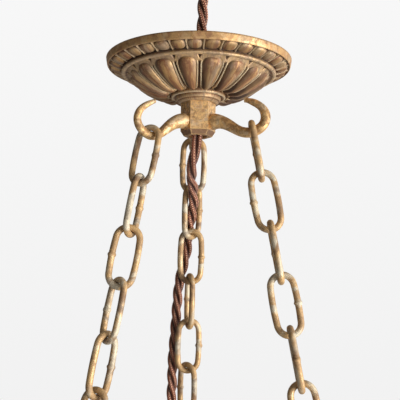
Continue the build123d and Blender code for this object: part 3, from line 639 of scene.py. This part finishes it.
def canopy_relief(radius, azimuth):
    """Height of the pressed ornament over the plain dish, with its masks of dirt and painted shade,
    of rub and painted highlight, and of polish.
    """
    true_turn = np.radians(azimuth)
    for waves, swing, offset in wanders:
        azimuth = azimuth + swing * np.sin(waves * true_turn + offset)
    lobe_height, lobe_dirt_and_shade, lobe_rub_and_highlight = lobe_relief(radius, azimuth)
    petal_height, petal_dirt_and_shade, petal_rub_and_highlight = petal_relief(radius, azimuth)
    from_ring = (radius - ring_middle) / (ring_width / 2)
    ring = np.sqrt(np.clip(1.0 - from_ring**2, 0.0, 1.0))
    ring_side = bell(np.abs(radius - ring_middle), ring_width / 2 + 0.15, 0.32)
    rim_line = bell(radius, rim_groove, rim_groove_width)
    from_collar = (radius - collar_middle) / (collar_width / 2)
    collar = np.sqrt(np.clip(1.0 - from_collar**2, 0.0, 1.0))
    throat = bell(radius, throat_middle, throat_width)
    bead = bell(radius, bead_middle, bead_width)
    throat_line = bell(radius, throat_groove, throat_groove_width)
    height = lobe_height + petal_height + ring_rise * ring
    height -= ring_side_depth * ring_side + rim_groove_depth * rim_line
    height += collar_rise * collar + bead_rise * bead
    height -= throat_depth * throat + throat_groove_depth * throat_line
    height -= collar_sink * smooth_share(radius, 12.5, 14.5) * smooth_share(radius, 18.2, 17.4)
    height -= centre_rise * smooth_share(radius, 25.0, 19.0) * smooth_share(radius, 10.5, 14.5)
    dirt = lobe_dirt_and_shade + petal_dirt_and_shade + 0.7 * ring_side + 0.85 * rim_line
    dirt += 0.75 * throat + 0.9 * throat_line
    rub = lobe_rub_and_highlight + petal_rub_and_highlight + 0.5 * ring + 0.85 * collar + 0.4 * bead
    rub += 0.5 * bell(radius, hub_edge, hub_edge_width)
    polish = 0.6 * smooth_share(radius, 53.6, 54.1) * (1.0 - rim_line)
    return height, np.clip(dirt, 0.0, 1.0), np.clip(rub, 0.0, 1.0), np.clip(polish, 0.0, 1.0)


canopy_steps = 1188
outline_r, outline_d = np.array(canopy_outline).T
station_r = np.concatenate(
    [
        np.linspace(canopy_radius, 54.4, 5),
        np.linspace(54.2, 52.9, 11),
        np.linspace(52.75, 46.1, 36),
        np.linspace(45.95, 43.4, 20),
        np.linspace(43.25, 18.0, 110),
        np.linspace(17.75, 10.5, 26),
    ]
)
plain_depth = np.interp(-station_r, -outline_r, outline_d)
plain_depth[:5] = np.linspace(0.0, 3.85, 5)
for _ in range(3):
    plain_depth[1:-1] = 0.5 * plain_depth[1:-1] + 0.25 * (plain_depth[:-2] + plain_depth[2:])
azimuths = np.arange(canopy_steps) * 360.0 / canopy_steps
grid_r, grid_a = np.meshgrid(station_r, azimuths, indexing="ij")
relief, dirt_and_shade_mask, rub_and_highlight_mask, polish_mask = canopy_relief(grid_r, grid_a)
face_slope = np.gradient(plain_depth, station_r)
tilt = np.arctan(-face_slope)[:, None]
outer_r = grid_r + relief * np.sin(tilt) * (grid_r < lobe_top)
outer_z = -(plain_depth[:, None] + relief * np.cos(tilt) * (grid_r < 54.3))
# The inner side lies deep enough behind the relief, and takes every sixth station
inner_wall = relief_depth * smooth_share(station_r, relief_rim, relief_rim - 4.0)
inner_wall *= smooth_share(station_r, relief_centre, relief_centre + 4.0)
inner_wall += canopy_wall
inner_r = np.concatenate(
    [[canopy_hole, canopy_hole], station_r[::-6][1:] - canopy_wall, [inner_rim]]
)
inner_d = np.concatenate(
    [
        [hub_seat_depth, hub_seat_depth - centre_thickness],
        (plain_depth - inner_wall)[::-6][1:],
        [0.0],
    ]
)
inner_r = np.repeat(inner_r[:, None], canopy_steps, axis=1)
inner_z = -np.repeat(np.maximum(inner_d, 0.0)[:, None], canopy_steps, axis=1)
all_r = np.vstack([outer_r, inner_r])
all_z = np.vstack([outer_z, inner_z])
turn_angle = np.radians(azimuths)[None, :]
canopy_points = np.stack(
    [all_r * np.sin(turn_angle), -all_r * np.cos(turn_angle), all_z], axis=-1
).reshape(-1, 3)
canopy_metal = aged_metal(
    "canopy_metal",
    bare=(198, 156, 102), brown=(142, 96, 66), dark=(54, 36, 26), pale=(208, 190, 156),
    relief=True,
    patch_scale=320.0,
    brown_amount=1.0, pale_amount=0.45, dark_amount=0.40,
    metal=0.60,
    satin=0.14,
    edge_width=0.0003,
    bump=0.00010,
)
canopy = add_piece(
    "canopy_dish",
    canopy_points,
    grid_faces(all_r.shape[0], canopy_steps, close_rows=True),
    "ceiling_fitting",
    ("canopy",),
    canopy_metal,
)
no_mask = np.zeros_like(inner_r)
# Masks of dirt with painted shade, of rub with painted highlight, and of polish, on the outer side
# only
for label, mask in (("dirt", dirt_and_shade_mask), ("rub", rub_and_highlight_mask), ("polish", polish_mask)):
    attribute = canopy.data.attributes.new(label, "FLOAT", "POINT")
    attribute.data.foreach_set("value", np.vstack([mask, no_mask]).ravel().astype(np.float32))
level_r = np.vstack([np.full_like(outer_r, canopy_radius), inner_r])
drawn_place = np.stack(
    [level_r * np.sin(turn_angle), level_r * np.cos(turn_angle), drawn_out * all_r - all_z], axis=-1
)
attribute = canopy.data.attributes.new("place", "FLOAT_VECTOR", "POINT")
attribute.data.foreach_set("vector", (drawn_place / 1000).ravel().astype(np.float32))

# ---------------------------------------------------------------- hub
# Short length of hexagonal brass bar, chamfered below and bored for the rod and the flex.
# Its faces are worn smooth and pale, and its chamfers and the other faces that look down get
# painted shade.
hub_downward_shade = 0.9
hub_metal = aged_metal(
    "hub_metal",
    bare=(250, 206, 140), brown=(178, 132, 92), dark=(98, 68, 52), pale=(222, 200, 172),
    patch_scale=560.0,
    brown_amount=0.8, pale_amount=0.5, dark_amount=0.55,
    metal=0.7,
    satin=0.06,
    edge_width=0.0012,
    bump=0.00015,
)
tree = hub_metal.node_tree
# Painted shade on every face that looks down, the chamfers among them
normal = add_node(tree, "ShaderNodeNewGeometry").outputs["Normal"]
facing = add_node(tree, "ShaderNodeSeparateXYZ", {"Vector": normal})
downward_shade = ramp(tree, facing.outputs["Z"], -0.15, -0.45, 0.0, hub_downward_shade)
patina_node = next(node for node in tree.nodes if node.type == "GROUP")
feed(patina_node, {"Dirt": downward_shade})
dress("hub", hub_metal, 0.0011)

# ---------------------------------------------------------------- hooks
# Three round brass bars, forged to a taper and bent, let into alternate faces of the hub.
# They are golden where the chain and hands rub, mottled brown elsewhere.
hook_metal = aged_metal(
    "hook_metal",
    bare=(226, 186, 126), brown=(166, 124, 80), dark=(80, 55, 36), pale=(226, 204, 168),
    patch_scale=420.0,
    brown_amount=0.9, pale_amount=0.6, dark_amount=0.5,
    metal=0.55,
    satin=0.12,
    edge_width=0.0008,
    bump=0.00014,
)
for side in ("left", "right", "rear"):
    dress(f"hook_{side}", hook_metal, 0.0006)

# ---------------------------------------------------------------- chains
# Links of drawn brass wire bent to an oval and welded shut in the middle of one side, where
# a small swelling stays. The wire is tan with a pale green-white bloom.
link_wire = 1.85
link_bow = 0.35
weld_swell = 0.42
weld_length = 1.1
weld_lean, weld_turn = 0.35, 0.7
weld_nick, nick_width = 0.14, 0.35
weld_margin = 0.3
weld_steps = (0.3, 0.6, 0.9, 1.2, 1.5, 1.9, 2.4)
link_steps = 72
wire_sides = 16
chain_metal = aged_metal(
    "chain_metal",
    bare=(194, 158, 108), brown=(156, 124, 86), dark=(94, 66, 50), pale=(208, 204, 184),
    patch_scale=165.0,
    brown_amount=0.9, pale_amount=0.62, dark_amount=0.65,
    metal=0.25,
    satin=0.12,
    bump=0.00010,
    edge_width=0.0003,
)


def loose_solids(node):
    """Point sets of a CAD node's separate solids, in millimetres."""
    shape = bmesh.new()
    shape.from_mesh(nodes[node].data)
    bmesh.ops.remove_doubles(shape, verts=shape.verts, dist=same_point)
    waiting = set(shape.verts)
    solids = []
    for start in shape.verts:
        if start not in waiting:
            continue
        waiting.remove(start)
        reached = [start]
        for vertex in reached:
            for edge in vertex.link_edges:
                other = edge.other_vert(vertex)
                if other in waiting:
                    waiting.remove(other)
                    reached.append(other)
        solids.append(np.array([vertex.co for vertex in reached]) * 1000)
    shape.free()
    return solids


def solid_frame(points):
    """Centre, half extents and axes of a solid, from its longest direction to its shortest."""
    rough_middle = points.mean(0)
    _, _, axes = np.linalg.svd(points - rough_middle, full_matrices=False)
    inside = (points - rough_middle) @ axes.T
    low, high = inside.min(0), inside.max(0)
    return rough_middle + (low + high) / 2 @ axes, (high - low) / 2, axes


def link_walks(half_lap, straight):
    """Distances round a link's centre line, closer together where either side may be welded."""
    walks = [2 * half_lap * step / link_steps for step in range(link_steps)]
    for weld in (straight, straight + half_lap):
        walks = [walk for walk in walks if abs(walk - weld) > weld_steps[-1] + weld_margin]
        walks += [weld] + [weld + sign * step for step in weld_steps for sign in (-1, 1)]
    return sorted(walks)


def link_points(solid, weld_side):
    """Rows of points round one link's wire, placed where its CAD solid is."""
    middle, half, axes = solid_frame(solid)
    if axes[0][2] > 0:
        axes[0] = -axes[0]
    if axes[1][0] < 0:
        axes[1] = -axes[1]
    axes[2] = np.cross(axes[0], axes[1])
    side = half[1] - link_wire
    straight = half[0] - link_wire - side
    half_lap = 2 * straight + pi * side
    rows = []
    for lap_walk in link_walks(half_lap, straight):
        sign = 1.0 if lap_walk < half_lap else -1.0
        walk = lap_walk % half_lap
        if walk < 2 * straight:
            along = walk - straight
            place = (along, side - link_bow * (along / straight) ** 2)
            heading = (1.0, -2 * link_bow * along / straight**2)
        else:
            turn = (walk - 2 * straight) / side
            place = (straight + side * sin(turn), (side - link_bow * abs(cos(turn))) * cos(turn))
            heading = (cos(turn), -sin(turn))
        length = sqrt(heading[0] ** 2 + heading[1] ** 2)
        outward = (-heading[1] / length, heading[0] / length)
        from_weld = abs(place[0]) if sign == weld_side and walk < 2 * straight else half_lap
        swell = weld_swell * bell(from_weld, 0.0, weld_length)
        nick = weld_nick * bell(from_weld, weld_length, nick_width)
        centre = middle + sign * (place[0] * axes[0] + place[1] * axes[1])
        out_axis = sign * (outward[0] * axes[0] + outward[1] * axes[1])
        for corner in range(wire_sides):
            angle = 2 * pi * corner / wire_sides
            lean = 1.0 + weld_lean * sin(2 * angle + weld_turn)
            thick = link_wire + swell * lean - nick * cos(angle) ** 2
            rows.append(centre + thick * (cos(angle) * out_axis + sin(angle) * axes[2]))
    return rows


def add_links(name, node, body, weld_sides):
    """One piece for a node's links, each with its weld on one side or the other."""
    points, faces = [], []
    for solid, weld_side in zip(loose_solids(node), weld_sides):
        rows = link_points(solid, weld_side)
        faces += grid_faces(len(rows) // wire_sides, wire_sides, close_rows=True, first=len(points))
        points += rows
    return add_piece(name, points, faces, body, (node,), chain_metal)


lower_links = 14
# Side of each named link that its weld is on, as seen from the front: 1 right, -1 left
weld_sides = {
    "left": (1, 1, -1, -1, 1, 1),
    "right": (1, -1, 1, 1, -1, -1),
    "rear": (-1, 1, 1, -1, 1, -1),
}
for side, welds in weld_sides.items():
    for number, weld in enumerate(welds, start=1):
        add_links(f"chain_{side}_link_{number}", f"link_{side}_{number}", f"chain_{side}", [weld])
    lower_welds = [1, -1] * (lower_links // 2)
    add_links(f"chain_{side}_lower_links", f"links_{side}_lower", f"chain_{side}", lower_welds)

# ---------------------------------------------------------------- flex
# Three rubber-covered cores, each in a braided brown textile sleeve, twisted together. It
# leaves the hub's bore and is woven down the rear chain, over the rim and to the lampholder.
core_radius = 1.56
twist_radius = 1.78
lay_length = 32.0
exit_loosening = 0.85
loosening_length = 40.0
exit_phase = radians(-73.0)
strand_sides = 12
line_spacing = 0.8
# Painted shade on the side of each strand that faces the other strands: its share, and where it
# starts and is full
crevice_shade_share, crevice_shade_start, crevice_shade_full = 0.85, -0.55, 0.25
hook_seat = Vector((-2.39, 34.20, -42.25))
rear_azimuth = radians(94.0)
chain_slope = radians(11.4)
link_step = 29.25
swing_gap = 0.4
outward = Vector((cos(rear_azimuth), sin(rear_azimuth), 0.0))
to_left = Vector((-sin(rear_azimuth), cos(rear_azimuth), 0.0))
down_chain = outward * sin(chain_slope) - Vector((0, 0, cos(chain_slope)))
to_back = outward * cos(chain_slope) + Vector((0, 0, sin(chain_slope)))


def beside_chain(down, left, behind):
    """Point beside the rear chain: distance down it from its hook, then offsets."""
    return hook_seat + down_chain * down + to_left * left + to_back * behind


def in_bowl(out, left, z):
    """Point in the bowl on the rear chain's side, from the pendant's axis outward."""
    return outward * out + to_left * left + Vector((0, 0, z))


hub_exit = [
    (0.0, 0.0, -42.45),
    (-1.3, 0.0, -51.0),
    (-2.8, 3.4, -60.0),
    (-3.8, 13.5, -65.0),
    (-2.8, 26.5, -70.0),
    (-1.8, 36.8, -80.0),
]
weave = [
    (55.8, 1.0, 7.0),
    (73.0, 2.3, 7.6),
    (89.5, 6.9, 6.9),
    (106.0, 7.8, 6.4),
    (124.0, 8.8, 4.1),
    (143.0, 10.0, 4.7),
    (162.0, 9.8, 2.1),
    (181.0, 11.1, -0.5),
    (200.0, 11.8, -6.3),
    (219.0, 6.4, -8.7),
    (238.0, 2.6, -7.8),
    (256.2, 0.2, -7.9),
    (270.5, -0.7, -6.5),
]
weave_length = 8 * link_step
upper_route = [
    (0.0, 0.0, -42.05),
    (0.2, 0.0, -22.0),
    (0.0, 0.1, -2.0),
    (1.9, 0.0, 21.0),
    (1.9, 0.0, 44.5),
]
chain_route = [Vector(point) for point in hub_exit]
for turn, points in enumerate((weave, weave, weave[:3])):
    for down, left, behind in points:
        chain_route.append(beside_chain(down + turn * weave_length, left, behind))
chain_route += [beside_chain(572.0, 11.0, 5.6), beside_chain(585.5, 13.6, 4.0)]
heading = (chain_route[-1] - chain_route[-2]).normalized()
bowl_entry = chain_route[-1] + heading * swing_gap
entry_height = -743.31
bowl_route = [
    bowl_entry,
    bowl_entry + heading * 15,
    in_bowl(154.0, 16.5, -651.0),
    in_bowl(148.0, 16.0, -674.0),
    in_bowl(133.0, 14.0, -696.0),
    in_bowl(111.0, 10.5, -717.0),
    in_bowl(86.0, 7.0, -733.0),
    in_bowl(60.0, 3.0, -742.3),
    in_bowl(36.0, 0.0, entry_height),
    in_bowl(16.0, 0.0, entry_height),
]


def route_line(name, route):
    """Points of the smooth line that a route's control points give, in millimetres."""
    curve = bpy.data.curves.new(name, "CURVE")
    curve.dimensions = "3D"
    spline = curve.splines.new("NURBS")
    spline.points.add(len(route) - 1)
    for point, place in zip(spline.points, route):
        point.co = (*(Vector(place) / 1000), 1.0)
    spline.order_u = 3
    spline.use_endpoint_u = True
    spline.resolution_u = 16
    holder = bpy.data.objects.new(name, curve)
    scene.collection.objects.link(holder)
    line = bpy.data.meshes.new_from_object(holder)
    points = np.array([vertex.co for vertex in line.vertices]) * 1000
    bpy.data.objects.remove(holder)
    bpy.data.meshes.remove(line)
    return points


def even_line(points, spacing):
    """The same line with evenly spaced points, their distances and carried side axes."""
    lengths = np.concatenate([[0.0], np.cumsum(np.linalg.norm(np.diff(points, axis=0), axis=1))])
    walk = np.linspace(0.0, lengths[-1], int(lengths[-1] / spacing) + 1)
    even = np.stack([np.interp(walk, lengths, points[:, axis]) for axis in range(3)], axis=1)
    tangents = np.gradient(even, axis=0)
    tangents /= np.linalg.norm(tangents, axis=1)[:, None]
    side = np.cross(tangents[0], (0.0, 1.0, 0.3))
    sides = []
    for tangent in tangents:
        side = side - tangent * (side @ tangent)
        side /= np.linalg.norm(side)
        sides.append(side)
    sides = np.array(sides)
    return even, walk, sides, np.cross(tangents, sides)


braid_cell = 1.4
braid_round = 5
fuzz_scale, stain_scale = 3200.0, 60.0
stain_share, fuzz_share = 0.35, 0.25
thread_height, fuzz_height = 0.8, 0.25
braid_depth = 0.00032
braid_roughness = 0.42
braid_sheen, braid_sheen_roughness = 0.05, 0.4


def make_braid_group():
    """Over-and-under plait of two thread colours from a sleeve's own coordinates, with painted
    highlights on the crossings, painted shade in the gaps and in the crevices between strands, and
    stains.
    """
    colour, value = "NodeSocketColor", "NodeSocketFloat"
    group, start, end = new_group(
        "braid",
        [
            ("Thread", colour, display(152, 80, 50)),
            ("Crossing Highlight", colour, display(246, 184, 144)),
            ("Shade And Stain", colour, display(46, 18, 10)),
            ("Crevice Shade", value, 0.0),
        ],
        [("Colour", colour), ("Height", value)],
    )
    sleeve = add_node(group, "ShaderNodeUVMap", uv_map="sleeve").outputs["UV"]
    parts = add_node(group, "ShaderNodeSeparateXYZ", {"Vector": sleeve})
    along = math_node(group, "DIVIDE", parts.outputs["X"], braid_cell)
    around = math_node(group, "MULTIPLY", parts.outputs["Y"], float(braid_round))
    right = math_node(group, "ADD", along, around)
    left = math_node(group, "SUBTRACT", along, around)
    right_wave = math_node(group, "SINE", math_node(group, "MULTIPLY", right, pi))
    left_wave = math_node(group, "SINE", math_node(group, "MULTIPLY", left, pi))
    product = math_node(group, "MULTIPLY", right_wave, left_wave)
    bulge = math_node(group, "ABSOLUTE", product)
    fuzz = add_node(group, "ShaderNodeTexNoise", {"Scale": fuzz_scale, "Detail": 3.0}).outputs[0]
    stain = add_node(group, "ShaderNodeTexNoise", {"Scale": stain_scale, "Detail": 3.0}).outputs[0]
    # Painted shade in the gaps between thread crossings, and painted highlights on the crossings
    thread = mix_colour(group, ramp(group, bulge, 0.05, 0.5), start["Shade And Stain"], start["Thread"])
    highlight_dotted = mix_colour(group, ramp(group, product, 0.25, 0.6), thread, start["Crossing Highlight"])
    stained = ramp(group, stain, 0.35, 0.75, 0.0, stain_share)
    faded = mix_colour(group, stained, highlight_dotted, start["Shade And Stain"])
    fuzzed = ramp(group, fuzz, 0.4, 0.75, 0.0, fuzz_share)
    hairy = mix_colour(group, fuzzed, faded, start["Thread"])
    # Painted shade in the crevices between the strands
    deep = mix_colour(group, start["Crevice Shade"], hairy, start["Shade And Stain"])
    group.links.new(deep, end["Colour"])
    thread_relief = math_node(group, "MULTIPLY", bulge, thread_height)
    fuzz_relief = math_node(group, "MULTIPLY", fuzz, fuzz_height)
    raised = math_node(group, "ADD", thread_relief, fuzz_relief)
    group.links.new(raised, end["Height"])
    return group


braid, tree, shader = new_material("braided_textile")
weave_node = add_node(tree, "ShaderNodeGroup", node_tree=make_braid_group())
crevice_shade = add_node(tree, "ShaderNodeAttribute", attribute_name="crevice_shade").outputs["Fac"]
feed(weave_node, {"Crevice Shade": crevice_shade})
feed(shader, {"Base Color": weave_node.outputs["Colour"], "Roughness": braid_roughness})
feed(shader, {"Sheen Weight": braid_sheen, "Sheen Roughness": braid_sheen_roughness})
add_bump(tree, shader, weave_node.outputs["Height"], braid_depth, 1.0)


def add_flex(name, route, body, node, phase=0.0):
    """Three sleeved cores twisted round a route's smooth line."""
    line, walk, sides, ups = even_line(route_line(name + "_line", route), line_spacing)
    points, faces, sleeve, crevice_shade = [], [], [], []
    for core in range(3):
        loosened = exit_loosening * (1.0 - np.exp(-walk / loosening_length))
        turn = phase - 2 * pi * (walk / lay_length - loosened + core / 3)
        centre = line + twist_radius * (np.cos(turn)[:, None] * sides + np.sin(turn)[:, None] * ups)
        faces += grid_faces(len(line), strand_sides, first=len(points))
        for row in range(len(line)):
            for corner in range(strand_sides):
                angle = 2 * pi * corner / strand_sides
                away = cos(angle) * sides[row] + sin(angle) * ups[row]
                points.append(centre[row] + core_radius * away)
                # Painted shade on the inward side of each strand
                inward = -cos(angle - turn[row])
                depth = float(smooth_share(inward, crevice_shade_start, crevice_shade_full))
                crevice_shade.append(crevice_shade_share * depth)
        for row in range(len(line) - 1):
            for corner in range(strand_sides):
                low, high = corner / strand_sides, (corner + 1) / strand_sides
                here, there = walk[row], walk[row + 1]
                sleeve += [here, low, here, high, there, high, there, low]
        for end in (0, len(line) - 1):
            first = len(points) + (end - len(line)) * strand_sides
            ring = list(range(first, first + strand_sides))
            faces.append(ring if end else ring[::-1])
            sleeve += [walk[end], 0.0] * strand_sides
    piece = add_piece(name, points, faces, body, (node,), braid)
    attribute = piece.data.attributes.new("crevice_shade", "FLOAT", "POINT")
    attribute.data.foreach_set("value", crevice_shade)
    layer = piece.data.uv_layers.new(name="sleeve")
    layer.data.foreach_set("uv", sleeve)
    path = [tuple(point / 1000) for point in line]
    length = float(walk[-1]) / 1000
    return piece, path, length


upper_flex, upper_path, upper_length = add_flex(
    "flex_to_ceiling", upper_route, "ceiling_fitting", "flex_upper"
)
chain_flex, chain_path, chain_length = add_flex(
    "flex_down_chain", chain_route, "chain_rear", "flex_chain", exit_phase
)
bowl_flex, bowl_path, bowl_length = add_flex(
    "flex_into_bowl", bowl_route, "bowl_assembly", "flex_bowl"
)

# ---------------------------------------------------------------- bowl
# Turned from one block of alabaster and polished: honey white, cloudy, with amber veins
# that show through the thickness.
stone_white, stone_honey = display(228, 215, 191), display(204, 172, 132)
vein_amber, stone_fleck = display(150, 96, 54), display(248, 242, 230)
stone_cloud_scale, fleck_scale, vein_scale = 9.0, 70.0, 13.0
vein_wander = 0.22
vein_width = 0.05
vein_share, fleck_share = 0.75, 0.3
alabaster, tree, shader = new_material("alabaster")
place = add_node(tree, "ShaderNodeTexCoord").outputs["Object"]
clouds = noise(tree, place, stone_cloud_scale, 7.0, Roughness=0.6, Distortion=0.9)
fine = noise(tree, place, fleck_scale, 5.0).outputs[0]
warped = add_node(
    tree,
    "ShaderNodeMix",
    {"Factor": vein_wander, 4: place, 5: clouds.outputs["Color"]},
    data_type="VECTOR",
).outputs[1]
veins = add_node(
    tree,
    "ShaderNodeTexVoronoi",
    {"Vector": warped, "Scale": vein_scale},
    feature="DISTANCE_TO_EDGE",
).outputs["Distance"]
vein_patch = ramp(tree, clouds.outputs[0], 0.42, 0.62)
vein_mask = math_node(tree, "MULTIPLY", ramp(tree, veins, vein_width, 0.0), vein_patch)
vein_mask = math_node(tree, "MULTIPLY", vein_mask, vein_share)
cloud_mask = ramp(tree, clouds.outputs[0], 0.35, 0.68)
stone = mix_colour(tree, cloud_mask, stone_white, stone_honey)
veined = mix_colour(tree, vein_mask, stone, vein_amber)
speckled = mix_colour(tree, ramp(tree, fine, 0.5, 0.8, 0.0, fleck_share), veined, stone_fleck)
feed(
    shader,
    {
        "Base Color": speckled,
        "Roughness": ramp(tree, fine, 0.3, 0.8, 0.16, 0.3),
        "Subsurface Weight": 0.55,
        "Subsurface Radius": (1.0, 0.62, 0.35),
        "Subsurface Scale": 0.012,
        "IOR": 1.52,
        "Coat Weight": 0.25,
        "Coat Roughness": 0.12,
    },
)
dress("bowl", alabaster, 0.0008)

# ---------------------------------------------------------------- hangers
# Brass wire bent to a ring above and a threaded foot that passes through the rim, with
# turned rosettes outside and nuts, washers and red fibre washers against the stone.
hanger_metal = aged_metal(
    "hanger_metal",
    bare=(204, 166, 112), brown=(142, 106, 68), dark=(74, 50, 32), pale=(196, 176, 142),
    patch_scale=220.0,
    brown_amount=0.9, pale_amount=0.4, dark_amount=0.35,
    metal=0.8,
    edge_width=0.0006,
    bump=0.0001,
)
for node in (
    "hanger_left",
    "hanger_right",
    "hanger_rear",
    "hanger_nuts",
    "hanger_washers",
    "hanger_rosettes",
    "outer_dish",
    "finial",
):
    dress(node, hanger_metal, 0.0003)
fibre = moulded("red_fibre", display(140, 66, 46), 0.7)
for node in ("hanger_fibre_washers", "centre_fibre_washers"):
    dress(node, fibre, 0.0002)

# ---------------------------------------------------------------- lampholder and bulb
# Drawn brass base cap and skirt round a glazed porcelain core with a rolled screw shell.
# The opal glass globe has a rolled cap, black glass insulator and a soldered tip.
drawn_brass = aged_metal(
    "drawn_brass",
    bare=(210, 172, 108), brown=(152, 114, 66), dark=(88, 62, 38), pale=(186, 168, 126),
    patch_scale=140.0,
    brown_amount=0.6, pale_amount=0.25, dark_amount=0.2,
    bump=0.00006,
)
for node in ("lampholder_base", "lampholder_skirt", "screw_shell"):
    dress(node, drawn_brass, 0.0003)
porcelain = moulded("glazed_porcelain", display(232, 228, 218), 0.14)
dress("lampholder_core", porcelain, 0.0005)
cap_metal = aged_metal(
    "cap_metal",
    bare=(206, 206, 202), brown=(160, 158, 150), dark=(110, 106, 98), pale=(188, 188, 180),
    patch_scale=300.0,
    brown_amount=0.4, pale_amount=0.2, dark_amount=0.1,
    bump=0.00004,
)
for node in ("bulb_cap", "bulb_tip"):
    dress(node, cap_metal, 0.0003)
black_glass = moulded("black_glass", display(24, 24, 28), 0.1)
dress("bulb_insulator", black_glass, 0.0002)
opal = moulded("opal_glass", display(238, 236, 228), 0.12)
opal_shader = opal.node_tree.nodes["Principled BSDF"]
feed(opal_shader, {"Subsurface Weight": 0.4, "Subsurface Scale": 0.004})
dress("bulb_glass", opal, 0.0002)

# ---------------------------------------------------------------- finish
bpy.context.view_layer.update()
